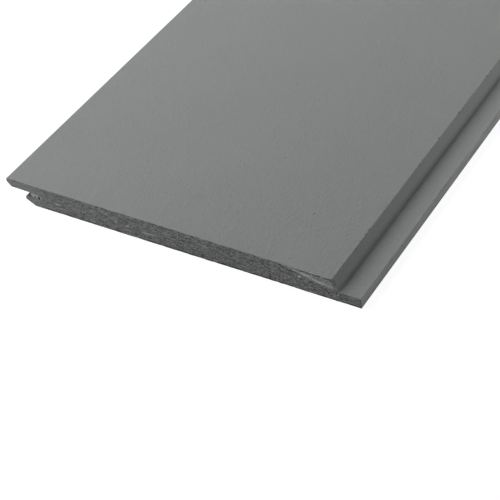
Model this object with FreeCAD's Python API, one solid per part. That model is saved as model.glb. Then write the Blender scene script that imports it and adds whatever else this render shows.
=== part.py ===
"""Tongue and groove cladding board, cut to length from one profiled slab of fibre cement.

Millimetres. X runs across the width, from the lip's nose to the tongue's edge.
Y runs along the length and Z up from the back, which lies on z = 0.
"""
import FreeCAD
import Part

import math
import os

# The whole board
LENGTH = 3600.0
WIDTH = 186.0
THICKNESS = 12.0
COVER_WIDTH = 176.0
ARRIS_RADIUS = 0.4

# Tongue edge: a bevelled shoulder falls from the face to a thinner tongue
TONGUE_THICKNESS = 5.6
TONGUE_REACH = 11.0
SHOULDER_RUN = 2.5
SHOULDER_FOOT_RADIUS = 0.4

# Groove edge: the lip that covers the next board's tongue
LIP_THICKNESS = 4.3
NOSE_HEIGHT = 1.9
NOSE_CHAMFER_RUN = 2.2

# Groove edge: the slot behind the lip, which dips as it goes in
SLOT_WIDTH = 2.0
SLOT_DEPTH = 5.6
SLOT_DIP = 1.1

# Groove edge: the heel below the slot, which stops just short of the next tongue
TONGUE_CLEARANCE = 0.1
HEEL_CREST_RUN = 3.1
HEEL_CREST_RISE = 1.3
HEEL_TIP_HEIGHT = 1.5
HEEL_CHAMFER_RUN = 4.8


def rounded_outline(corners):
    """Closed outline in the plane of X and Z, from corners given as (x, z, radius).

    A radius is limited so that its arc leaves a straight run on the shorter side.
    """
    points = [FreeCAD.Vector(x, 0, z) for x, z, radius in corners]
    edges = []
    last_end = None
    first_start = None
    for index, corner in enumerate(points):
        back = points[index - 1] - corner
        ahead = points[(index + 1) % len(points)] - corner
        half_angle = back.getAngle(ahead) / 2
        radius = corners[index][2]
        setback = min(radius / math.tan(half_angle), 0.45 * min(back.Length, ahead.Length))
        radius = setback * math.tan(half_angle)
        back.normalize()
        ahead.normalize()
        start = corner + back * setback
        end = corner + ahead * setback
        if last_end is not None:
            edges.append(Part.makeLine(last_end, start))
        if radius > 0:
            inward = (back + ahead).normalize()
            middle = corner + inward * (radius / math.sin(half_angle) - radius)
            edges.append(Part.Arc(start, middle, end).toShape())
        if first_start is None:
            first_start = start
        last_end = end
    edges.append(Part.makeLine(last_end, first_start))
    return Part.Wire(edges)


def board_section():
    """The board's section, round from the lip's nose over the face to the tongue and back."""
    shoulder_foot = WIDTH - TONGUE_REACH
    face_edge = shoulder_foot - SHOULDER_RUN
    lip_underside = THICKNESS - LIP_THICKNESS
    heel_tip = WIDTH - COVER_WIDTH + TONGUE_CLEARANCE
    heel_crest = heel_tip + HEEL_CREST_RUN
    crest_level = lip_underside - SLOT_WIDTH
    tip_top = crest_level - HEEL_CREST_RISE
    tip_bottom = tip_top - HEEL_TIP_HEIGHT
    slot_end = heel_crest + SLOT_DEPTH
    slot_round = SLOT_WIDTH / 2

    corners = [
        (0, THICKNESS, ARRIS_RADIUS),
        (face_edge, THICKNESS, ARRIS_RADIUS),
        (shoulder_foot, TONGUE_THICKNESS, SHOULDER_FOOT_RADIUS),
        (WIDTH, TONGUE_THICKNESS, ARRIS_RADIUS),
        (WIDTH, 0, ARRIS_RADIUS),
        (heel_tip + HEEL_CHAMFER_RUN, 0, ARRIS_RADIUS),
        (heel_tip, tip_bottom, ARRIS_RADIUS),
        (heel_tip, tip_top, ARRIS_RADIUS),
        (heel_crest, crest_level, ARRIS_RADIUS),
        (slot_end, crest_level - SLOT_DIP, slot_round),
        (slot_end, lip_underside - SLOT_DIP, slot_round),
        (heel_crest, lip_underside, 0),
        (NOSE_CHAMFER_RUN, lip_underside, ARRIS_RADIUS),
        (0, THICKNESS - NOSE_HEIGHT, ARRIS_RADIUS),
    ]
    return Part.Face(rounded_outline(corners))


section = board_section()
section.translate(FreeCAD.Vector(-WIDTH / 2, -LENGTH / 2, 0))
board = section.extrude(FreeCAD.Vector(0, LENGTH, 0))

os.makedirs("parts", exist_ok=True)
board.exportStep("parts/board.step")
print("board", board.isValid(), "solids", len(board.Solids))
print("volume in cubic millimetres", round(board.Volume), "box", board.BoundBox)
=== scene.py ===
# %% [markdown]
# # A tongue and groove board, dressed from its section outwards
# The object is one length of fibre-cement cladding: a slab profiled along both long edges,
# painted grey in the factory and sawn off square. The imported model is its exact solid. This
# lesson puts over it the same board with the marks of its making: sprayed paint, a sawn end,
# worn arrises and a corner that broke as the saw came through.

# %% Load the frame
import math

import bmesh
import bpy
import numpy as np
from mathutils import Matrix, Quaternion, Vector


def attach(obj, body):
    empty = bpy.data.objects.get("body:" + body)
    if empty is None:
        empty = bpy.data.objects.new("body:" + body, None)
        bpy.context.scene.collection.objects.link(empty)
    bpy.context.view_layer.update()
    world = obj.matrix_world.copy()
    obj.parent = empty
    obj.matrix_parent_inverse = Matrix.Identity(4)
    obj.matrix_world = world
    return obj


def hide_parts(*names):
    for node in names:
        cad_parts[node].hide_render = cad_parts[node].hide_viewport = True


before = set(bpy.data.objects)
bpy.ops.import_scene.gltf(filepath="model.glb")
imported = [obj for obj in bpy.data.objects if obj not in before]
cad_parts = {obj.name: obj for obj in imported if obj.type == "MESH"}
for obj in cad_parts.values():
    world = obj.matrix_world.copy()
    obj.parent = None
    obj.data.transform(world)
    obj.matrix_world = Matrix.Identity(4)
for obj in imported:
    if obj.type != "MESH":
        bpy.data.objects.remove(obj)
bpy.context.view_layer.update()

# %% [markdown]
# ## The camera
# The photograph looks down at the near end from about 40 degrees, from the right, with a long
# lens and a slight lean. An eye point, an aim point on the face and a lean are easy to read and
# to change, so the camera is turned by them and not by three bare angles.

# %% Camera
EYE = Vector((0.33167, -2.22477, 0.45494))
AIM = Vector((0.03826, -1.79771, 0.01200))
LEAN = math.radians(-6.849)


def add_object(name, data):
    """A new object that holds this data, linked to the scene."""
    made = bpy.data.objects.new(name, data)
    bpy.context.scene.collection.objects.link(made)
    return made


camera_data = bpy.data.cameras.new("camera")
camera_data.sensor_width = 36.0
camera_data.lens = 113.31
camera_data.clip_start = 0.01
camera_data.clip_end = 200.0
camera = add_object("camera", camera_data)
camera.location = EYE
camera.rotation_mode = "QUATERNION"
camera.rotation_quaternion = (AIM - EYE).to_track_quat("-Z", "Y") @ Quaternion((0, 0, 1), LEAN)
bpy.context.scene.camera = camera
print("camera to aim point, metres", round((AIM - EYE).length, 3))

# %% [markdown]
# ## The section
# The board is the same all along, so its section is worth drawing with care. A long thin shape
# could be filled by a triangulator, but the triangles would run anywhere. Instead the section
# gets a spine, as a leaf has a midrib: every point of the outline has a partner on the spine.
# The strip between outline and spine is then a plain grid, which can carry the sawn end's relief.

# %% Sizes of the section
# Millimetres: x from the lip's nose across to the tongue's edge, z up from the back.
# Coating has gathered a little on the heel's tip and under the lip's root.
MM = 0.001
LENGTH, WIDTH, THICKNESS = 3600.0, 186.0, 12.0
ARRIS, GATHERED = 0.4, 0.2
FACE_EDGE, SHOULDER_FOOT, TONGUE_TOP, FOOT_ROUND = 172.5, 175.0, 5.6, 0.4
LIP_UNDER, NOSE_LOW, NOSE_RUN = 7.7, 10.1, 2.2
HEEL_TIP, TIP_LOW, TIP_TOP, HEEL_BACK = 10.1 - GATHERED, 2.9, 4.4, 14.9
CREST_X, CREST_Z = 13.2, 5.7
SLOT_END, SLOT_DIP, SLOT_ROUND_TOP, SLOT_ROUND_LOW = 18.8, 1.1, 1.0, 0.74
SLOT_MIDDLE = (SLOT_END, 5.64, 0)
print("slot's depth behind the crest, mm", round(SLOT_END - CREST_X, 2))

# %% [markdown]
# Two helpers draw the section. One rounds the corners of a line with arcs, as a cutter does. The
# other walks several lines together, so that both sides of a limb and its spine get as many points.

# %% Rounded corners and even walks
def rounded(corners, steps=5):
    """Polyline through (x, z, radius) corners.

    An inner corner gives way to an arc: it starts and ends radius / tan(half the corner's angle)
    from the corner, and its centre is radius / sin(half angle) along the line that halves it.
    """
    corners = np.array(corners, float)
    runs = [corners[:1, :2]]
    for before, corner, after in zip(corners[:-2], corners[1:-1], corners[2:]):
        back = (before - corner)[:2] / np.hypot(*(before - corner)[:2])
        ahead = (after - corner)[:2] / np.hypot(*(after - corner)[:2])
        half = math.acos(np.clip(back @ ahead, -1, 1)) / 2
        middle = (back + ahead) / np.hypot(*(back + ahead))
        sweep = np.linspace(half - math.pi / 2, math.pi / 2 - half, steps)[:, None]
        across = (ahead - back) / np.hypot(*(ahead - back))
        centre = corner[:2] + middle * corner[2] / math.sin(half)
        arc = centre + corner[2] * (np.sin(sweep) * across - np.cos(sweep) * middle)
        runs.append(arc if corner[2] > 0 else corner[None, :2])
    return np.concatenate(runs + [corners[-1:, :2]])


def shares(line):
    """Share of a polyline's length that has been walked at each of its points."""
    steps = np.hypot(*np.diff(line, axis=0).T)
    return np.concatenate([[0.0], np.cumsum(steps)]) / steps.sum()


def walk(lines, spacing):
    """Points of several polylines at the same shares of their lengths, with every corner kept.

    An even share that falls within a third of a step of a corner is left out.
    """
    corners = np.unique(np.concatenate([shares(line) for line in lines]).round(5))
    length = max(np.hypot(*np.diff(line, axis=0).T).sum() for line in lines)
    even = np.linspace(0, 1, math.ceil(length / spacing) + 1)
    clear = np.abs(even[:, None] - corners).min(axis=1) > 0.3 / len(even)
    at = np.sort(np.concatenate([corners, even[clear]]))
    return [np.column_stack([np.interp(at, shares(line), axis) for axis in line.T]) for line in lines]


slot_corner = [(CREST_X, LIP_UNDER, 0), (SLOT_END, LIP_UNDER - SLOT_DIP, SLOT_ROUND_TOP), SLOT_MIDDLE]
print("slot's end, rounded:", rounded(slot_corner).round(2)[1:3])

# %% [markdown]
# The section has four limbs, each with two sides and a stretch of spine: the lip, the heel below
# the slot, the body, and the shoulder with its tongue.

# %% Limbs
LIP_SPINE, FORK, HEEL_SPINE = (3.0, 9.8), (22.0, 6.0), (11.4, 3.6)
BODY_SPINE, TONGUE_SPINE = (145.0, 5.0), (184.0, 2.8)
CHAMFER_CUT = (HEEL_SPINE[0], 2.115, 0)
SLOPE_CUT = (HEEL_SPINE[0], 4.945, 0)

lip_top, lip_under, lip_spine = walk([
    np.array([(LIP_SPINE[0], THICKNESS), (FORK[0], THICKNESS)]),
    rounded([(LIP_SPINE[0], LIP_UNDER, 0), (CREST_X, LIP_UNDER - GATHERED, 0),
             (SLOT_END, LIP_UNDER - SLOT_DIP, SLOT_ROUND_TOP), SLOT_MIDDLE]),
    np.array([LIP_SPINE, (18.0, 9.2), FORK]),
], spacing=0.5)
heel_back, heel_top, heel_spine = walk([
    rounded([(FORK[0], 0, 0), (HEEL_BACK, 0, ARRIS), CHAMFER_CUT]),
    rounded([SLOT_MIDDLE, (SLOT_END, CREST_Z - SLOT_DIP, SLOT_ROUND_LOW),
             (CREST_X, CREST_Z, ARRIS), SLOPE_CUT]),
    np.array([FORK, (17.8, 2.4), HEEL_SPINE]),
], spacing=0.5)
body_top, body_back, body_spine = walk([
    np.array([(FORK[0], THICKNESS), (BODY_SPINE[0], THICKNESS)]),
    np.array([(FORK[0], 0), (BODY_SPINE[0], 0)]),
    np.array([FORK, BODY_SPINE]),
], spacing=0.6)
tongue_top, tongue_back, tongue_spine = walk([
    rounded([(BODY_SPINE[0], THICKNESS, 0), (FACE_EDGE, THICKNESS, ARRIS),
             (SHOULDER_FOOT, TONGUE_TOP, FOOT_ROUND), (TONGUE_SPINE[0], TONGUE_TOP, 0)]),
    np.array([(BODY_SPINE[0], 0), (TONGUE_SPINE[0], 0)]),
    np.array([BODY_SPINE, (168.0, 4.0), (176.5, 2.8), TONGUE_SPINE]),
], spacing=0.4)
print("points along lip, heel, body, tongue:", len(lip_top), len(heel_top), len(body_top), len(tongue_top))

# %% [markdown]
# The limbs' free ends close round one spine point each. Then the stretches are put one after
# another, once round the section.

# %% Free ends and outline
def tip(corners, point):
    """A free end of the section: every outline point there has the same partner on the spine."""
    line = walk([rounded(corners)], spacing=0.5)[0]
    return line, np.broadcast_to(point, line.shape)


nose_tip = tip([(LIP_SPINE[0], LIP_UNDER, 0), (NOSE_RUN, LIP_UNDER, ARRIS), (0, NOSE_LOW, ARRIS),
                (0, THICKNESS, ARRIS), (LIP_SPINE[0], THICKNESS, 0)], LIP_SPINE)
heel_tip = tip([CHAMFER_CUT, (HEEL_TIP, TIP_LOW, ARRIS), (HEEL_TIP, TIP_TOP, ARRIS), SLOPE_CUT], HEEL_SPINE)
tongue_tip = tip([(TONGUE_SPINE[0], TONGUE_TOP, 0), (WIDTH, TONGUE_TOP, ARRIS), (WIDTH, 0, ARRIS),
                  (TONGUE_SPINE[0], 0, 0)], TONGUE_SPINE)
stretches = [
    nose_tip, (lip_top, lip_spine), (body_top, body_spine), (tongue_top, tongue_spine), tongue_tip,
    (tongue_back[::-1], tongue_spine[::-1]), (body_back[::-1], body_spine[::-1]), (heel_back, heel_spine),
    heel_tip, (heel_top[::-1], heel_spine[::-1]), (lip_under[::-1], lip_spine[::-1]),
]
outline = np.concatenate([side[:-1] for side, partners in stretches])
spine = np.concatenate([partners[:-1] for side, partners in stretches])
print("outline points", len(outline), "round a section of", outline.min(0), "to", outline.max(0))

# %% [markdown]
# ## The sawn end
# A saw leaves fibre cement flat but open: small pits where grains came out, crumbled arrises, and,
# at this end, a flake that broke away under the face as the offcut dropped. The flake left a
# hollow with a smooth ledge along its lower side, while the painted skin above it held. Each of
# these is a depth that depends on the place in the section, so they add up in one function.

# %% Patches, steps and spots
LATTICE = 257


def patches(a, b, size, seed):
    """Random heights from -1 to 1: one value at each crossing of a lattice, blended by smoothstep."""
    table = np.random.default_rng(seed).uniform(-1, 1, (LATTICE, LATTICE))
    i, j = np.floor(a / size).astype(int), np.floor(b / size).astype(int)
    u, v = a / size - i, b / size - j
    u, v = u * u * (3 - 2 * u), v * v * (3 - 2 * v)
    here, right = i % LATTICE, (i + 1) % LATTICE
    below, above = j % LATTICE, (j + 1) % LATTICE
    low = table[here, below] * (1 - u) + table[right, below] * u
    high = table[here, above] * (1 - u) + table[right, above] * u
    return low * (1 - v) + high * v


def ease(value, start, end):
    """Smoothstep: 0 before start, 1 after end, and 3t^2 - 2t^3 between them."""
    t = np.clip((value - start) / (end - start), 0, 1)
    return t * t * (3 - 2 * t)


def spot(x, z, centre, half, core):
    """1 inside the core, a share of an ellipse with these half sizes, and easing to 0 at its rim."""
    return 1 - ease(np.hypot((x - centre[0]) / half[0], (z - centre[1]) / half[1]), core, 1.0)


print("a step a quarter of the way up:", ease(0.25, 0.0, 1.0))

# %% [markdown]
# The flake's lower side is a line in the section, so the break is told by two numbers: how far a
# place is above that line, and how far along it.

# %% The flake's break
FLAKE_START, FLAKE_END = np.array([146.5, 11.9]), np.array([174.6, 4.7])
TURN_FROM, TURN_UP = 164.0, 0.011
SKIN, HOLLOW_DEPTH = 0.5, 0.45


def flake(x, z):
    """Distance above the flake's lower side, and the share of the way along it, both in the section.

    The side is a straight line that turns up, by a parabola, over its last third.
    """
    side = FLAKE_END - FLAKE_START
    along = ((x - FLAKE_START[0]) * side[0] + (z - FLAKE_START[1]) * side[1]) / (side @ side)
    above = ((z - FLAKE_START[1]) * side[0] - (x - FLAKE_START[0]) * side[1]) / np.hypot(*side)
    return above - TURN_UP * np.maximum(x - TURN_FROM, 0) ** 2, along


def broken_relief(x, z):
    """Depth of the hollow that the flake left, in millimetres.

    It deepens along the flake, eases in over a smooth ledge above the lower side, is roughened by
    two sizes of patches past the ledge, and stops under the skin.
    """
    above, along = flake(x, z)
    depth = HOLLOW_DEPTH * ease(along, -0.02, 0.4) * (1 - ease(along, 0.96, 1.0))
    rough = 1 + 0.5 * patches(x, z, 1.8, 31) + 0.5 * patches(x, z, 0.9, 32)
    rough = 1 + (rough - 1) * ease(above, 0.8, 1.3)
    return depth * rough * ease(above, 0.0, 1.1) * ease(THICKNESS - z, SKIN - 0.1, SKIN + 0.2)


print("deepest part of the hollow, mm", broken_relief(np.linspace(152, 172, 200), 10.6).max().round(2))

# %% [markdown]
# The rest of the end is the saw's own surface, and two places that handling has rubbed: the
# shoulder's upright edge and the arris along the back.

# %% Sawn and worn relief
SAWN_DEPTH, COARSE, FINE, PIT = 0.06, 0.03, 0.02, 0.06
LAP_FADES = (14.0, 26.0)
EDGE_WEAR, WEAR_REACH = 0.8, 2.2
BACK_WEAR, BACK_WEAR_GROWS = 0.25, (90.0, 150.0)


def sawn_relief(x, z, seed):
    """Depth in millimetres: coarse and fine patches, with pits where the fine ones dip furthest.

    Near the lip the pits fade out, since paint has filled them.
    """
    coarse, fine = patches(x, z, 5.0, seed), patches(x, z, 1.3, seed + 1)
    return SAWN_DEPTH + COARSE * coarse + FINE * fine + PIT * ease(fine, 0.5, 1.0) * ease(x, *LAP_FADES)


def upright_edge(x, z):
    """1 at the shoulder's upright edge, fading to 0 about two millimetres in from it."""
    shoulder = FACE_EDGE + (THICKNESS - z) * (SHOULDER_FOOT - FACE_EDGE) / (THICKNESS - TONGUE_TOP)
    height = ease(z, TONGUE_TOP, 7.5) * (1 - ease(z, 10.5, THICKNESS))
    return height * ease(x - shoulder, -WEAR_REACH, 0.0)


def worn_relief(x, z):
    """Depth of the rubbed corners: the shoulder's upright edge, and crumbs along the back's arris.

    The crumbs lie in the lowest millimetre, and they grow towards the tongue.
    """
    crumbs = ease(1.0 - z, 0.0, 0.9) * (0.75 + 0.25 * patches(x, 0 * z, 1.6, 61))
    return EDGE_WEAR * upright_edge(x, z) + crumbs * (0.02 + BACK_WEAR * ease(x, *BACK_WEAR_GROWS))


print("wear at the shoulder's edge, mm", worn_relief(np.array(173.5), np.array(9.0)).round(2))

# %% [markdown]
# ## The board
# The outline is carried along the length, and at both ends it shrinks onto its spine. That makes
# one grid: round the section one way, and spine, end, length, end, spine the other way. Rows lie
# close together at the photographed end, where crumbs are missing from the arris.

# %% Rows of the grid
# A row's shrink is 0 on the outline and 1 on the spine. An end's rows run from spine to outline.
NEAR_SHRINK = np.concatenate([np.linspace(1.0, 0.06, 20), [0.025, 0.0]])[:, None]
FAR_SHRINK = np.concatenate([np.linspace(1.0, 0.1, 9), [0.03, 0.0]])[:, None]
CRUMB_SLANT = 0.6

inward = spine - outline
inward /= np.hypot(*inward.T)[:, None]


def end_rows(shrink, depth_of, crumbs):
    """Rows from the spine out to the arris: places in the section, and their depths from the end plane.

    The last row is the arris, and it loses its crumbs both in depth and, by a share, inwards.
    """
    place = outline + shrink[..., None] * (spine - outline)
    place[-1] += CRUMB_SLANT * crumbs[:, None] * inward
    depth = depth_of(place[..., 0], place[..., 1])
    depth[-1] += crumbs
    return place, depth


print("rows on the near end", len(NEAR_SHRINK), "and on the far end", len(FAR_SHRINK))

# %% [markdown]
# The arris loses crumbs by chance, and three larger nicks where the photograph shows them. Paint
# has kept most of it on the lip, it loses little from the flake on, and the tongue's edge is whole.

# %% Crumbs and nicks
# Each nick is its x and the depth lost there.
NICKS = [(4.9, 0.7), (146.8, 0.5), (161.8, 0.4)]
NICK_HALF = 0.4
LIP_KEPT_TO, FLAKE_KEPT_FROM, EDGE_KEPT_FROM = (13.0, 22.0), (150.0, 152.0), (184.0, 185.5)
SEAT, SEAT_HALF, SEAT_DEPTH = (16.8, 5.7), (3.4, 2.0), 0.12


def crumbled(seed):
    """Crumbs lost from the arris, in millimetres: few larger ones, and many small ones along the back."""
    x, z = outline.T
    face_crumbs = 0.03 + 0.25 * ease(patches(x, z, 0.8, seed), 0.5, 1.0)
    back_crumbs = 0.02 + 0.15 * ease(patches(x, z, 1.7, seed + 1), 0.1, 0.9)
    return np.where(z < 1.0, back_crumbs, face_crumbs)


def near_relief(x, z):
    """Everything that the saw, the break and handling took, and a shallow seat for the slot's bead."""
    seat = SEAT_DEPTH * spot(x, z, SEAT, SEAT_HALF, 0.7)
    return sawn_relief(x, z, 11) + broken_relief(x, z) + worn_relief(x, z) + seat


x, z = outline.T
crumbs_near = crumbled(5) * ease(x, *LIP_KEPT_TO) * (1 - 0.7 * ease(x, *FLAKE_KEPT_FROM))
crumbs_near = 0.02 + crumbs_near * (1 - ease(x, *EDGE_KEPT_FROM))
for nick, lost in NICKS:
    crumbs_near += lost * (z > THICKNESS - 1.0) * np.exp(-((x - nick) / NICK_HALF) ** 2)
crumbs_far = crumbled(15)
print("largest loss, mm: near end", crumbs_near.max().round(2), "far end", crumbs_far.max().round(2))

# %% [markdown]
# Between the ends the rows step out from tight to wide. What an end lost dies away along the
# length, so the rows just behind an arris follow it.

# %% The whole grid
# Rows stand at these distances from either end, then evenly between them, in millimetres.
FROM_END = np.array([0.25, 0.6, 1.1, 1.8, 2.8, 4.2, 6.5, 10.0, 15.0, 24.0, 40.0, 70.0, 120.0, 200.0])
EVEN_FROM, EVEN_ROWS = 300.0, 16
CRUMBS_DIE, DEPTH_DIES = 0.5, 2.5

evenly = np.linspace(EVEN_FROM, LENGTH - EVEN_FROM, EVEN_ROWS)
along_length = np.concatenate([FROM_END, evenly, LENGTH - FROM_END[::-1]])
near_place, near_depth = end_rows(NEAR_SHRINK, near_relief, crumbs_near)
far_place, far_depth = end_rows(FAR_SHRINK, lambda x, z: sawn_relief(x, z, 21), crumbs_far)

to_near, to_far = along_length[:, None], LENGTH - along_length[:, None]
shrunk = np.exp(-to_near / CRUMBS_DIE) * crumbs_near + np.exp(-to_far / CRUMBS_DIE) * crumbs_far
middle_place = outline + CRUMB_SLANT * shrunk[..., None] * inward
near_share, far_share = np.exp(-to_near / DEPTH_DIES), np.exp(-to_far / DEPTH_DIES)
middle_depth = to_near + near_share * near_depth[-1] - far_share * far_depth[-1]

place = np.concatenate([near_place, middle_place, far_place[::-1]])
depth = np.concatenate([near_depth, middle_depth, LENGTH - far_depth[::-1]])
print("rows", len(place), "of", len(outline), "points; triangles about", 2 * len(place) * len(outline))

# %% [markdown]
# ## Numbers for the finishes
# Some numbers go with each point for the finishes to read. On the sawn end they say how far paint
# has run over it, how far it is the fresh break, where single pale grains and dark pores lie, and
# where painted light and painted shade go. Along the board they say where paint chips off first,
# where painted shade darkens the slot and the shoulder's foot, where the face's full coat lies over
# the pressed grain while the thinner coat elsewhere is darker, partly as painted shade, and where
# handling has rubbed the tongue's edge, with a painted highlight along its top.
# A painted picture could say all this too, but numbers on the points need no unwrapping.

# %% Single marks
# Each is x, z, half length and half height in millimetres, and a strength.
PALE_MARKS = [(156.5, 7.6, 0.6, 0.5, 1.0), (28.8, 5.3, 1.8, 0.3, 0.7), (20.3, 9.4, 0.5, 0.35, 0.4),
              (48.5, 1.6, 0.6, 0.5, 0.6), (53.0, 10.9, 0.6, 0.5, 0.5), (56.8, 8.9, 0.7, 0.4, 0.5),
              (61.0, 5.9, 0.7, 0.4, 0.6), (67.5, 5.5, 1.0, 0.4, 0.6), (79.0, 4.8, 3.2, 0.35, 0.5),
              (24.3, 7.0, 0.5, 0.4, 0.25), (143.3, 5.8, 0.6, 0.4, 0.25), (145.0, 3.5, 0.5, 0.4, 0.4),
              (154.0, 3.4, 0.5, 0.4, 0.4), (175.0, 4.0, 0.5, 0.5, 0.3)]
# Dark marks are pores, and painted shade at the slot's mouth and in the nicks of the top arris.
PORES_AND_SHADE_MARKS = [(43.2, 4.4, 0.6, 0.4, 1.0), (60.2, 5.2, 0.5, 0.4, 1.0), (147.3, 11.2, 0.5, 0.5, 1.0),
              (148.2, 10.4, 0.8, 0.35, 1.0), (161.8, 10.8, 0.4, 0.6, 1.0), (170.5, 3.4, 0.5, 0.5, 1.0),
              (138.3, 8.8, 0.5, 0.4, 1.0), (4.9, 11.9, 0.4, 0.5, 1.0), (12.5, 5.4, 1.0, 0.5, 1.0)]
end_x, end_z = near_place[..., 0], near_place[..., 1]


def marks(places):
    """Soft spots on the near end: strength times exp(-d^4), where d is the distance in half sizes."""
    at = np.array(places)
    far_x = (end_x[..., None] - at[:, 0]) / at[:, 2]
    far_z = (end_z[..., None] - at[:, 1]) / at[:, 3]
    far_off = far_x ** 2 + far_z ** 2
    return (at[:, 4] * np.exp(-far_off ** 2)).sum(axis=-1)


print("single marks:", len(PALE_MARKS), "pale and", len(PORES_AND_SHADE_MARKS), "dark")

# %% [markdown]
# The flake's ledge is made pale as a painted highlight where it faces up, and the skin above it
# keeps its paint, made paler by painted light. Under the skin the hollow is in shade.

# %% The flake's ledge, skin and shade
SKIN_STARTS, SKIN_ENDS = (150.5, 152.5), (170.5, 172.0)
SHADE_Z, SHADE_SINKS, SHADE_HALF = 11.3, 0.55, 0.25

above, along = flake(end_x, end_z)
# The ledge's paleness below is a painted highlight.
ledge = ease(above, -0.1, 0.3) * (1 - ease(above, 0.8, 1.4))
ledge *= ease(along, 0.14, 0.2) * (1 - 0.5 * ease(along, 0.65, 0.8)) * (1 - ease(along, 0.84, 0.94))
over_flake = ease(end_x, *SKIN_STARTS) * (1 - ease(end_x, *SKIN_ENDS))
skin = over_flake * ease(end_z, THICKNESS - SKIN - 0.15, THICKNESS - SKIN + 0.1)
shade_line = SHADE_Z - SHADE_SINKS * ease(end_x, 150.0, 162.0) + 0.15 * patches(end_x, 0 * end_z, 2.3, 36)
under_skin = over_flake * ease(patches(end_x, 0 * end_z, 1.1, 35), -0.5, 0.3)
under_skin *= np.exp(-((end_z - shade_line) / SHADE_HALF) ** 2)
print("points on the ledge", (ledge > 0.5).sum(), "on the skin", (skin > 0.5).sum())

# %% [markdown]
# A dark line also runs just above the arrises that face down, where crumbs have left small hollows
# that hold shade. One more marks where the rubbed upright edge meets the sawn face.

# %% Dark edges of the near end
CRUMB_SHADE_AT, CRUMB_SHADE_HALF = 0.6, 0.45
RIM_AT, RIM_HALF, RIM_DARK = 0.07, 0.05, 0.8

in_slot = (x > HEEL_TIP) & (x < SLOT_END + 0.1) & (z > TIP_TOP - 0.2) & (z < LIP_UNDER + 0.01)
heading = np.roll(outline, -1, axis=0) - np.roll(outline, 1, axis=0)
faces_down = ease(-heading[:, 0] / np.hypot(*heading.T), 0.2, 0.6) * ~in_slot
from_edge = NEAR_SHRINK * np.hypot(*(spine - outline).T)
under_edge = faces_down * ease(patches(end_x, 0 * end_z, 1.5, 62), -0.7, 0.3)
under_edge *= np.exp(-((from_edge - CRUMB_SHADE_AT) / CRUMB_SHADE_HALF) ** 2)
under_edge *= 0.4 + 0.4 * ease(end_x, 14.0, 18.0) + 0.2 * ease(end_x, 60.0, 140.0)
upright = upright_edge(end_x, end_z)
upright_rim = RIM_DARK * ease(upright, 0.0, 0.05) * np.exp(-((upright - RIM_AT) / RIM_HALF) ** 2)
print("points under an edge", (under_edge > 0.3).sum(), "on the rim", (upright_rim > 0.3).sum())

# %% [markdown]
# Paint has run over the end beside the lip and thins out from there. The fresh break lies above
# the flake's lower side. With these, the near end's four numbers are complete.

# %% The near end's numbers
LAP, THIN_LAP, THIN_LAP_FADES = 0.62, 0.2, (20.0, 100.0)

# Pale grains are real; the ledge's share and the skin's share are painted light.
pale = 0.3 * ledge + 0.35 * skin + marks(PALE_MARKS)
# Dark pores are real; the marks at the slot's mouth and nicks, under the skin and along the lower arrises
# are painted shade.
dark = marks(PORES_AND_SHADE_MARKS) + under_skin + under_edge + upright_rim
broken = ease(above, 0.0, 0.5) * ease(along, 0.02, 0.12) * (1 - ease(along, 0.88, 0.97))
lap = LAP * (1 - ease(end_x + 2.0 * patches(end_x, end_z, 2.0, 41), *LAP_FADES))
lap = np.maximum(np.maximum(lap, THIN_LAP * (1 - ease(end_x, *THIN_LAP_FADES))), skin)
print("points under the lap", (lap > 0.3).sum(), "and in the break", (broken > 0.5).sum())

# %% [markdown]
# The numbers along the board depend on the place in the section alone: four corners that chip, the
# slot and the shoulder's foot, which get painted shade, the face with its full coat, where the rest
# is darker, partly as painted shade, and the tongue's edge, which rubs when boards are stacked and
# gets a painted highlight along its top.

# %% Numbers along the board
# Each worn corner is x, z and a strength.
WORN_CORNERS = [(FACE_EDGE, THICKNESS, 1.0), (WIDTH, TONGUE_TOP, 0.35), (WIDTH, 0, 0.35),
                (0, THICKNESS, 0.35)]
CHIP_REACH, FOOT_REACH, FOOT_SHADE, EDGES_PRESSED = 0.6, 1.3, 0.55, 0.45

corner_x, corner_z, wear = np.array(WORN_CORNERS).T
from_corner = np.hypot(x[:, None] - corner_x, z[:, None] - corner_z)
arris = (wear * np.exp(-(from_corner / CHIP_REACH) ** 2)).max(axis=1)
from_foot = np.hypot(x - SHOULDER_FOOT, z - TONGUE_TOP)
in_foot = np.exp(-(from_foot / FOOT_REACH) ** 2) * (z > TONGUE_TOP + 0.1)
# Painted shade: the slot, and the bevel's lower part by the shoulder's foot, are darkened.
slot_and_foot_shade = np.maximum(in_slot, FOOT_SHADE * in_foot)
# Off the face the coat is thinner; its darker colour also stands in for the shade on the tongue's top.
pressed = np.where(z > THICKNESS - 0.01, 1.0, EDGES_PRESSED)
# Real scuffs on the tongue's edge, plus a painted highlight: stronger towards the edge's top and over its
# arris.
rubbed = ease(x, WIDTH - ARRIS - 0.1, WIDTH - 0.6 * ARRIS) * (0.5 + 0.5 * ease(z, 0, TONGUE_TOP))


def near_only(values):
    """The near end's values, followed by nought for the rest of the board."""
    return np.concatenate([np.clip(values, 0, 1), np.zeros((len(place) - len(values), len(outline)))])


numbers = {}
for name, values in [("lap", lap), ("broken", broken), ("pale", pale), ("dark", dark)]:
    numbers[name] = near_only(values)
for name, values in [("arris", arris), ("slot_and_foot_shade", slot_and_foot_shade), ("pressed", pressed), ("rubbed", rubbed)]:
    numbers[name] = np.broadcast_to(values, depth.shape)
print("numbers for the finishes", {name: (values > 0.5).sum() for name, values in numbers.items()})

# %% [markdown]
# ## The mesh
# The mesh itself is the grid's points and quads. The two rows on a spine fold flat onto each
# other, so points that fall together are merged, and the board closes. The bead in the slot is
# made in the same way, so these three helpers serve both.

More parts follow.
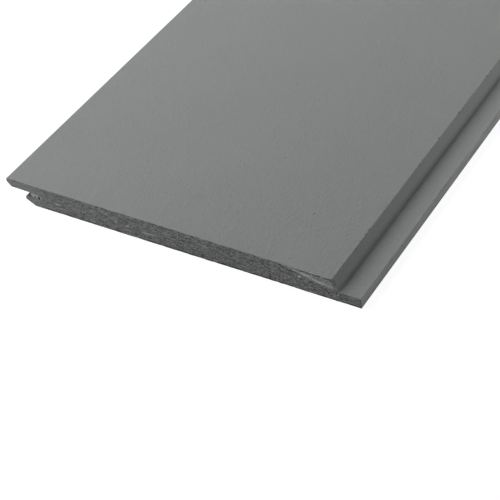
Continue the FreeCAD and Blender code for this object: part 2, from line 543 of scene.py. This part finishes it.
# %% Helpers for a closed grid
def in_frame(across, back, up):
    """Points in the CAD's frame, in metres, from millimetres in the section and behind the near end."""
    return np.dstack([across - WIDTH / 2, back - LENGTH / 2, up]).reshape(-1, 3) * MM


def grid_quads(rows, columns):
    """Point numbers of the quads between neighbouring rows, in a grid that closes round its columns."""
    row, column = np.meshgrid(np.arange(rows - 1), np.arange(columns), indexing="ij")
    this, following = row * columns, (row + 1) * columns
    beside = (column + 1) % columns
    corners = [this + column, this + beside, following + beside, following + column]
    return np.stack(corners, axis=-1).reshape(-1, 4)


def close_mesh(mesh, apart):
    """Merges points no further apart than this, in metres, turns faces outwards, counts open edges."""
    shell = bmesh.new()
    shell.from_mesh(mesh)
    bmesh.ops.remove_doubles(shell, verts=shell.verts, dist=apart)
    bmesh.ops.recalc_face_normals(shell, faces=shell.faces)
    open_edges = sum(not edge.is_manifold for edge in shell.edges)
    shell.to_mesh(mesh)
    shell.free()
    return open_edges


print("quads of a small grid", len(grid_quads(3, 4)))

# %% [markdown]
# A quad is sawn core if it lies on an end, and painted if it lies along the board or on the rubbed
# upright edge, where the coat has been carried round.

# %% Board mesh
EDGE_PAINTED = 0.12
SHARP = math.radians(40)

row = np.arange(len(place) - 1)[:, None]
on_end = (row < len(NEAR_SHRINK) - 1) | (row >= len(place) - len(FAR_SHRINK))
sawn = on_end & (near_only(upright)[:-1] < EDGE_PAINTED)

board_mesh = bpy.data.meshes.new("board_dressed")
board_mesh.from_pydata(in_frame(place[..., 0], depth, place[..., 1]), [], grid_quads(*depth.shape).tolist())
board_mesh.polygons.foreach_set("material_index", sawn.ravel().astype(np.int32))
for name, values in numbers.items():
    layer = board_mesh.attributes.new(name, "FLOAT", "POINT")
    layer.data.foreach_set("value", values.astype(np.float32).ravel())
open_edges = close_mesh(board_mesh, apart=1e-6)
board_mesh.shade_smooth()
board_mesh.set_sharp_from_angle(angle=SHARP)
board = add_object("board_dressed", board_mesh)
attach(board, "root")
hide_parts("board")
board_mesh.calc_loop_triangles()
print("board: triangles", len(board_mesh.loop_triangles), "open edges", open_edges)

# %% [markdown]
# ## The bead in the slot
# Coating has run into the slot at this end and set there as a pale lumpy bead, with a pinhole
# where the slot ends. A bead is a profile carried along a path: an ellipse that swells from
# nothing, follows the slot's middle line and closes again.

# %% Bead's surface
BEAD_FROM, BEAD_TO = np.array([13.0, 6.4]), np.array([19.3, 5.4])
HALF_HEIGHT, HALF_HEIGHT_GROWS, HALF_DEPTH = 0.8, 0.6, 0.8
PINHOLE, PINHOLE_HALF, PINHOLE_DEPTH = (17.8, 5.25), (0.8, 1.15), 3.0
DIMPLE, DIMPLE_HALF, DIMPLE_DEPTH = (15.7, 5.5), (0.45, 0.9), 0.5
LUMP_DEPTH = 0.08


def bead_surface(t, turn):
    """An ellipse across the slot, scaled along its path by the fourth root of 1 - (2t - 1)^4.

    Its front is lowered by lumps, a small dimple and the pinhole, each eased off at its rim.
    """
    swell = np.maximum(1 - (2 * t - 1) ** 4, 0) ** 0.25
    path = BEAD_FROM + t[..., None] * (BEAD_TO - BEAD_FROM)
    across = np.array([BEAD_FROM[1] - BEAD_TO[1], BEAD_TO[0] - BEAD_FROM[0]])
    across /= np.hypot(*across)
    half_height = (HALF_HEIGHT + HALF_HEIGHT_GROWS * t) * swell
    section = path + (half_height * np.cos(turn))[..., None] * across
    x, z = section[..., 0], section[..., 1]
    hole = spot(x, z, PINHOLE, PINHOLE_HALF, 0.75)
    dimple = spot(x, z, DIMPLE, DIMPLE_HALF, 0.5)
    lumps = 0.5 + 0.5 * patches(x, z, 1.0, 51)
    lowered = LUMP_DEPTH * lumps + DIMPLE_DEPTH * dimple + PINHOLE_DEPTH * hole
    dome = np.sign(np.sin(turn)) * np.abs(np.sin(turn)) ** 0.3
    front = HALF_DEPTH - HALF_DEPTH * swell ** 0.3 * dome
    return section, front + lowered * ease(np.sin(turn), 0.0, 0.2)


print("bead's length, mm", np.hypot(*(BEAD_TO - BEAD_FROM)).round(2))

# %% [markdown]
# Rings along the path and spokes round it give the bead's grid, which then closes as the board did.

# %% Bead
RINGS, SPOKES = 97, 64

rings, spokes = np.linspace(0, 1, RINGS), np.linspace(0, 2 * math.pi, SPOKES, endpoint=False)
section, front = bead_surface(*np.meshgrid(rings, spokes, indexing="ij"))
bead_points = in_frame(section[..., 0], front, section[..., 1])
bead_mesh = bpy.data.meshes.new("slot_bead")
bead_mesh.from_pydata(bead_points, [], grid_quads(RINGS, SPOKES).tolist())
open_edges = close_mesh(bead_mesh, apart=1e-7)
bead_mesh.shade_smooth()
bead = add_object("slot_bead", bead_mesh)
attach(bead, "root")
print("bead: faces", len(bead_mesh.polygons), "open edges", open_edges)

# %% [markdown]
# ## Finishes
# Colours are written as they look on a screen, and a shader wants light, so one function turns
# hex values to linear ones. One more adds a node with its settings and links. A Mix node's colours
# are its inputs 6 and 7, and the mixed colour is its output 2, so these numbers get names.

# %% Colour and node helpers
FACTOR, FIRST, SECOND, MIXED = 0, 6, 7, 2


def linear(hex_colour):
    """sRGB hex to linear: c / 12.92 of dark values, and ((c + 0.055) / 1.055) ^ 2.4 of the others."""
    c = np.array([int(hex_colour[i:i + 2], 16) / 255 for i in (1, 3, 5)])
    light = np.where(c <= 0.04045, c / 12.92, ((c + 0.055) / 1.055) ** 2.4)
    return (*light.tolist(), 1.0)


def add_node(tree, kind, inputs=None, **settings):
    """Adds a node of this kind, sets its properties, and fills its inputs with values or links."""
    node = tree.nodes.new("ShaderNode" + kind)
    for name, value in settings.items():
        setattr(node, name, value)
    for name, value in (inputs or {}).items():
        if isinstance(value, bpy.types.NodeSocket):
            tree.links.new(value, node.inputs[name])
        else:
            node.inputs[name].default_value = value
    return node


def new_finish(name):
    """An empty material with its node tree and its output node."""
    finish = bpy.data.materials.new(name)
    finish.use_nodes = True
    finish.node_tree.nodes.clear()
    return finish, finish.node_tree, add_node(finish.node_tree, "OutputMaterial")


print("paint grey, linear", np.round(linear("#8B8E8D"), 3))

# %% [markdown]
# ### Sprayed acrylic paint
# Two thin coats of matt acrylic over pressed fibre cement: even in colour, with the sheet's faint
# grain showing through, a little drawn out along the length, and a few pits where air came out of
# the coat. The grain could be modelled, but it is far finer than the mesh. A bump from stretched
# noise gives it, and sparse cells give the pits.

# %% Paint's grain and pits
# The real grain, taken to be about 0.3 mm wide, is under a pixel here. It is drawn at 1.15 mm to show.
paint, tree, out = new_finish("acrylic_paint_sprayed_matt")
where = add_node(tree, "TexCoord").outputs["Object"]
drawn_out = add_node(tree, "Mapping", {"Vector": where, "Scale": (1.0, 0.72, 1.0)}).outputs["Vector"]
grain = add_node(tree, "TexNoise", {
    "Vector": drawn_out, "Scale": 1 / (1.15 * MM), "Detail": 4.0, "Roughness": 0.72,
})
cells = add_node(tree, "TexVoronoi", {"Vector": where, "Scale": 1 / (6 * MM)})
bells = add_node(tree, "MapRange", {
    "Value": cells.outputs["Distance"], "From Min": 0.02, "From Max": 0.085, "To Min": 1.0, "To Max": 0.0,
}, interpolation_type="SMOOTHSTEP")
chosen = add_node(tree, "MapRange", {"Value": cells.outputs["Color"], "From Min": 0.65, "From Max": 0.9})
pits = add_node(tree, "Math", {
    0: bells.outputs["Result"], 1: chosen.outputs["Result"],
}, operation="MULTIPLY")
height = add_node(tree, "Math", {
    0: pits.outputs[0], 1: -1.0, 2: grain.outputs["Fac"],
}, operation="MULTIPLY_ADD")
full_coat = add_node(tree, "Attribute", attribute_name="pressed").outputs["Fac"]
relief = add_node(tree, "Bump", {
    "Height": height.outputs[0], "Strength": full_coat, "Distance": 0.86 * MM,
})
print("nodes for the paint's relief", len(tree.nodes))

# %% [markdown]
# The colour drifts a little over a few centimetres, and is darker where the coat is thin, on the
# edges and the back, a darkening that also serves as painted shade on the tongue's top. The
# tongue's edge is scuffed pale by handling, in streaks along the length, and paler still towards
# its top and over its arris as a painted highlight.

# %% Paint's tone and scuffs
cloud = add_node(tree, "TexNoise", {"Vector": where, "Scale": 1 / (40 * MM), "Detail": 2.0})
tone = add_node(tree, "Mix", {
    FACTOR: cloud.outputs["Fac"], FIRST: linear("#898C8B"), SECOND: linear("#8D908F"),
}, data_type="RGBA")
coat_and_shade = add_node(tree, "Mix", {
    FACTOR: full_coat, FIRST: linear("#848786"), SECOND: tone.outputs[MIXED],
}, data_type="RGBA")
streaked = add_node(tree, "Mapping", {"Vector": where, "Scale": (1.0, 0.08, 1.0)}).outputs["Vector"]
rubs = add_node(tree, "TexNoise", {"Vector": streaked, "Scale": 1 / (1.2 * MM), "Detail": 2.0})
scratch = add_node(tree, "MapRange", {"Value": rubs.outputs["Fac"], "From Min": 0.25, "From Max": 0.7})
# Scuffs, plus the painted highlight on the edge's top and arris.
rubbed_and_lit = add_node(tree, "Attribute", attribute_name="rubbed").outputs["Fac"]
scuffs_and_highlight = add_node(tree, "Math", {0: rubbed_and_lit, 1: scratch.outputs["Result"]}, operation="MULTIPLY")
scuffed = add_node(tree, "Mix", {
    FACTOR: scuffs_and_highlight.outputs[0], FIRST: coat_and_shade.outputs[MIXED], SECOND: linear("#A9ACAA"),
}, data_type="RGBA")
print("nodes with tone and scuffs", len(tree.nodes))

# %% [markdown]
# Along an arris the coat is chipped here and there and the darker core shows. The pits, the slot
# and the shoulder's foot get the same dark grey as painted shade. What is left is a matt, faintly
# plastic surface, with the IOR of acrylic.

# %% Paint's chips and shader
near_arris = add_node(tree, "Attribute", attribute_name="arris").outputs["Fac"]
flecks = add_node(tree, "TexNoise", {"Vector": where, "Scale": 1 / (1.6 * MM), "Detail": 1.0})
flaked = add_node(tree, "MapRange", {"Value": flecks.outputs["Fac"], "From Min": 0.63, "From Max": 0.68})
chips = add_node(tree, "Math", {0: near_arris, 1: flaked.outputs["Result"]}, operation="MULTIPLY")
# The chips are real wear; the darkening in the pits is painted shade.
chips_and_pit_shade = add_node(tree, "Math", {
    0: pits.outputs[0], 1: 0.5, 2: chips.outputs[0],
}, operation="MULTIPLY_ADD")
# Painted shade in the slot and at the shoulder's foot.
inside = add_node(tree, "Attribute", attribute_name="slot_and_foot_shade").outputs["Fac"]
bare_and_shaded = add_node(tree, "Math", {0: chips_and_pit_shade.outputs[0], 1: inside}, operation="MAXIMUM")
worn_and_shaded = add_node(tree, "Mix", {
    FACTOR: bare_and_shaded.outputs[0], FIRST: scuffed.outputs[MIXED], SECOND: linear("#505252"),
}, data_type="RGBA")
coat = add_node(tree, "BsdfPrincipled", {
    "Base Color": worn_and_shaded.outputs[MIXED], "Roughness": 0.7, "IOR": 1.48, "Specular IOR Level": 0.3,
    "Normal": relief.outputs["Normal"],
})
tree.links.new(coat.outputs["BSDF"], out.inputs["Surface"])
print(paint.name, "nodes", len(tree.nodes))

# %% [markdown]
# ### Sawn fibre cement
# Cement, fine sand and cellulose fibres, cut dry. The eye sees a dull grey with pale grains and
# dark pores under a millimetre wide, and short pale fibres lying along the sheet. Cells with a
# colour each make the sand, noise makes the pores, and noise drawn out sideways makes the fibres.

# %% Sawn core's grain
# Real sand, taken to be about 0.1 mm across, and the thinner fibres are far under a pixel here. Sand,
# pores and fibres are all drawn at about half a millimetre to show.
core, tree, out = new_finish("fibre_cement_sawn_dry")
where = add_node(tree, "TexCoord").outputs["Object"]
flattened = add_node(tree, "Mapping", {"Vector": where, "Scale": (0.65, 1.0, 1.0)}).outputs["Vector"]
sand = add_node(tree, "TexVoronoi", {"Vector": flattened, "Scale": 1 / (0.45 * MM)})
lying = add_node(tree, "Mapping", {"Vector": where, "Scale": (0.1, 1.0, 1.0)}).outputs["Vector"]
threads = add_node(tree, "TexNoise", {"Vector": lying, "Scale": 1 / (0.6 * MM), "Detail": 1.0})
layers = add_node(tree, "Math", {0: sand.outputs["Color"], 1: threads.outputs["Fac"]}, operation="ADD")
grade = add_node(tree, "MapRange", {"Value": layers.outputs[0], "From Min": 0.5, "From Max": 1.5})
stone = add_node(tree, "Mix", {
    FACTOR: grade.outputs["Result"], FIRST: linear("#4C4E4E"), SECOND: linear("#B1B3B2"),
}, data_type="RGBA")
dust = add_node(tree, "TexNoise", {
    "Vector": flattened, "Scale": 1 / (0.48 * MM), "Detail": 2.0, "Roughness": 0.6,
})
pores = add_node(tree, "MapRange", {
    "Value": dust.outputs["Fac"], "From Min": 0.6, "From Max": 0.72, "To Max": 0.75,
})
porous = add_node(tree, "Mix", {
    FACTOR: pores.outputs["Result"], FIRST: stone.outputs[MIXED], SECOND: linear("#3A3C3C"),
}, data_type="RGBA")
fibres = add_node(tree, "MapRange", {
    "Value": threads.outputs["Fac"], "From Min": 0.62, "From Max": 0.72, "To Max": 0.6,
})
fibrous = add_node(tree, "Mix", {
    FACTOR: fibres.outputs["Result"], FIRST: porous.outputs[MIXED], SECOND: linear("#B8BAB8"),
}, data_type="RGBA")
print("nodes for the core's grain", len(tree.nodes))

# %% [markdown]
# Paint that has run over the edge and the fresh break are paler than the core. The break's ledge and
# the skin above it are paler still as painted light. Pores are darker, and so, as painted shade, are
# the shaded hollows, the slot's mouth and the nicks. The board's own numbers say where each of them is.

# %% Sawn core's marks and shader
lapped = add_node(tree, "Attribute", attribute_name="lap").outputs["Fac"]
painted = add_node(tree, "Mix", {
    FACTOR: lapped, FIRST: fibrous.outputs[MIXED], SECOND: linear("#A3A6A5"),
}, data_type="RGBA")
fresh = add_node(tree, "Attribute", attribute_name="broken").outputs["Fac"]
chunks = add_node(tree, "Mix", {
    FACTOR: sand.outputs["Color"], FIRST: linear("#7C7E7D"), SECOND: linear("#CACCCB"),
}, data_type="RGBA")
dusty = add_node(tree, "Mix", {
    FACTOR: fresh, FIRST: painted.outputs[MIXED], SECOND: chunks.outputs[MIXED],
}, data_type="RGBA")
pale_and_lit = add_node(tree, "Attribute", attribute_name="pale").outputs["Fac"]
grained = add_node(tree, "Mix", {
    FACTOR: pale_and_lit, FIRST: dusty.outputs[MIXED], SECOND: linear("#F0F2F0"),
}, data_type="RGBA")
hollow = add_node(tree, "Attribute", attribute_name="dark").outputs["Fac"]
shown = add_node(tree, "Mix", {
    FACTOR: hollow, FIRST: grained.outputs[MIXED], SECOND: linear("#343636"),
}, data_type="RGBA")
relief = add_node(tree, "Bump", {
    "Height": dust.outputs["Fac"], "Strength": 1.0, "Distance": 0.22 * MM,
}, invert=True)
face = add_node(tree, "BsdfPrincipled", {
    "Base Color": shown.outputs[MIXED], "Roughness": 0.9, "IOR": 1.5, "Specular IOR Level": 0.2,
    "Normal": relief.outputs["Normal"],
})
tree.links.new(face.outputs["BSDF"], out.inputs["Surface"])
print(core.name, "nodes", len(tree.nodes))

# %% [markdown]
# ### The set bead
# The same acrylic, pooled thick and chalky, so it is paler and a little smoother than the sprayed
# coat. Its mottling is about as wide as its lumps, so plain noise is enough.

# %% Bead's finish
pooled, tree, out = new_finish("acrylic_paint_pooled_chalky")
where = add_node(tree, "TexCoord").outputs["Object"]
chalk = add_node(tree, "TexNoise", {"Vector": where, "Scale": 1 / (0.9 * MM), "Detail": 2.0})
tone = add_node(tree, "Mix", {
    FACTOR: chalk.outputs["Fac"], FIRST: linear("#A2A5A3"), SECOND: linear("#DCDFDD"),
}, data_type="RGBA")
pool = add_node(tree, "BsdfPrincipled", {
    "Base Color": tone.outputs[MIXED], "Roughness": 0.6, "IOR": 1.48, "Specular IOR Level": 0.3,
})
tree.links.new(pool.outputs["BSDF"], out.inputs["Surface"])
board_mesh.materials.append(paint)
board_mesh.materials.append(core)
bead_mesh.materials.append(pooled)
print("board's finishes", [finish.name for finish in board_mesh.materials])

# %% [markdown]
# ## Floor and light
# The board lies flat on a pale floor. A long soft strip above its left side is the main light, and
# its nearness makes the face fade across its width, as in the photograph. A low strip on the right
# lights the shoulder and the tongue's edge, and a little light comes from all round. Camera rays
# see a white floor that still takes the board's shadow.

# %% Floor's finish
SEEN = ("Is Camera Ray", "Is Glossy Ray", "Is Transmission Ray")
WHITE, FLOOR_GREY, SHADED_GREY = (1.0, 1.0, 1.0, 1.0), (0.25, 0.25, 0.25, 1.0), (0.2, 0.2, 0.2, 1.0)


def seen_directly(tree):
    """1 for rays that show a surface to the camera, straight or by a mirror or glass, and 0 for light."""
    path = add_node(tree, "LightPath")
    straight, mirrored, through = [path.outputs[name] for name in SEEN]
    either = add_node(tree, "Math", {0: straight, 1: mirrored}, operation="MAXIMUM")
    return add_node(tree, "Math", {0: either.outputs[0], 1: through}, operation="MAXIMUM").outputs[0]


white, tree, out = new_finish("floor_white_matt")
plain = add_node(tree, "BsdfDiffuse", {"Color": FLOOR_GREY})
shaded = add_node(tree, "BsdfDiffuse", {"Color": SHADED_GREY})
glow = add_node(tree, "Emission", {"Color": WHITE, "Strength": 0.92})
bright = add_node(tree, "AddShader", {0: shaded.outputs[0], 1: glow.outputs[0]})
mixed = add_node(tree, "MixShader", {0: seen_directly(tree), 1: plain.outputs[0], 2: bright.outputs[0]})
tree.links.new(mixed.outputs[0], out.inputs["Surface"])
print(white.name, "nodes", len(tree.nodes))

# %% [markdown]
# The floor is one large quad, a tenth of a millimetre below the board's back, so that the two never
# lie in one plane.

# %% Floor
FLOOR_REACH, FLOOR_DROP = 60.0, 0.0001

floor_mesh = bpy.data.meshes.new("floor")
corners = np.array([(-1, -1), (1, -1), (1, 1), (-1, 1)]) * FLOOR_REACH
floor_mesh.from_pydata(np.column_stack([corners, np.full(4, -FLOOR_DROP)]), [], [(0, 1, 2, 3)])
floor_mesh.materials.append(white)
floor = add_object("floor", floor_mesh)
print("floor", floor.dimensions[:])

# %% [markdown]
# The lamps could be points or a sky picture. Long area lights suit a long board better: they light
# it evenly along its length, and soft edges come from their width. The world does as the floor
# does: the camera sees white, and the board gets only a faint light from it.

# %% World
bpy.context.scene.view_settings.view_transform = "Standard"
world = bpy.data.worlds.new("studio")
bpy.context.scene.world = world
world.use_nodes = True
tree = world.node_tree
tree.nodes.clear()
around = add_node(tree, "Background", {"Color": WHITE, "Strength": 0.1})
backdrop = add_node(tree, "Background", {"Color": WHITE, "Strength": 1.0})
mixed = add_node(tree, "MixShader", {0: seen_directly(tree), 1: around.outputs[0], 2: backdrop.outputs[0]})
tree.links.new(mixed.outputs[0], add_node(tree, "OutputWorld").inputs["Surface"])
print(world.name, "nodes", len(tree.nodes))

# %% [markdown]
# A strip is given by its width, its two ends along the board, its place and its tilt. The low strip
# starts a little behind the near end, so that it lights the tongue's edge but not the sawn face.

# %% Strip lights
def strip_light(name, width, start, end, side, height, tilt, watts):
    """A long soft light along the board, in metres, tilted about the length.

    At 0 degrees it shines down, and at 90 to the left.
    """
    lamp = bpy.data.lights.new(name, "AREA")
    lamp.shape = "RECTANGLE"
    lamp.size, lamp.size_y = width, end - start
    lamp.energy = watts
    strip = add_object(name, lamp)
    strip.location = (side, (start + end) / 2, height)
    strip.rotation_mode = "QUATERNION"
    strip.rotation_quaternion = Quaternion((0, 1, 0), math.radians(tilt))
    strip.visible_camera = False
    print(name, width, "by", round(end - start, 2), "metres,", watts, "watts")


strip_light("main_strip", width=0.35, start=-3.2, end=3.2, side=-0.30, height=0.38, tilt=-39.0, watts=17.2)
strip_light("low_strip", width=0.14, start=-1.70, end=3.0, side=0.42, height=0.11, tilt=80.0, watts=6.2)

# %% [markdown]
# ## Last update
# The dressed board must fill the same box as the solid. The scene is brought up to date once more.

# %% Finish
bpy.context.view_layer.update()
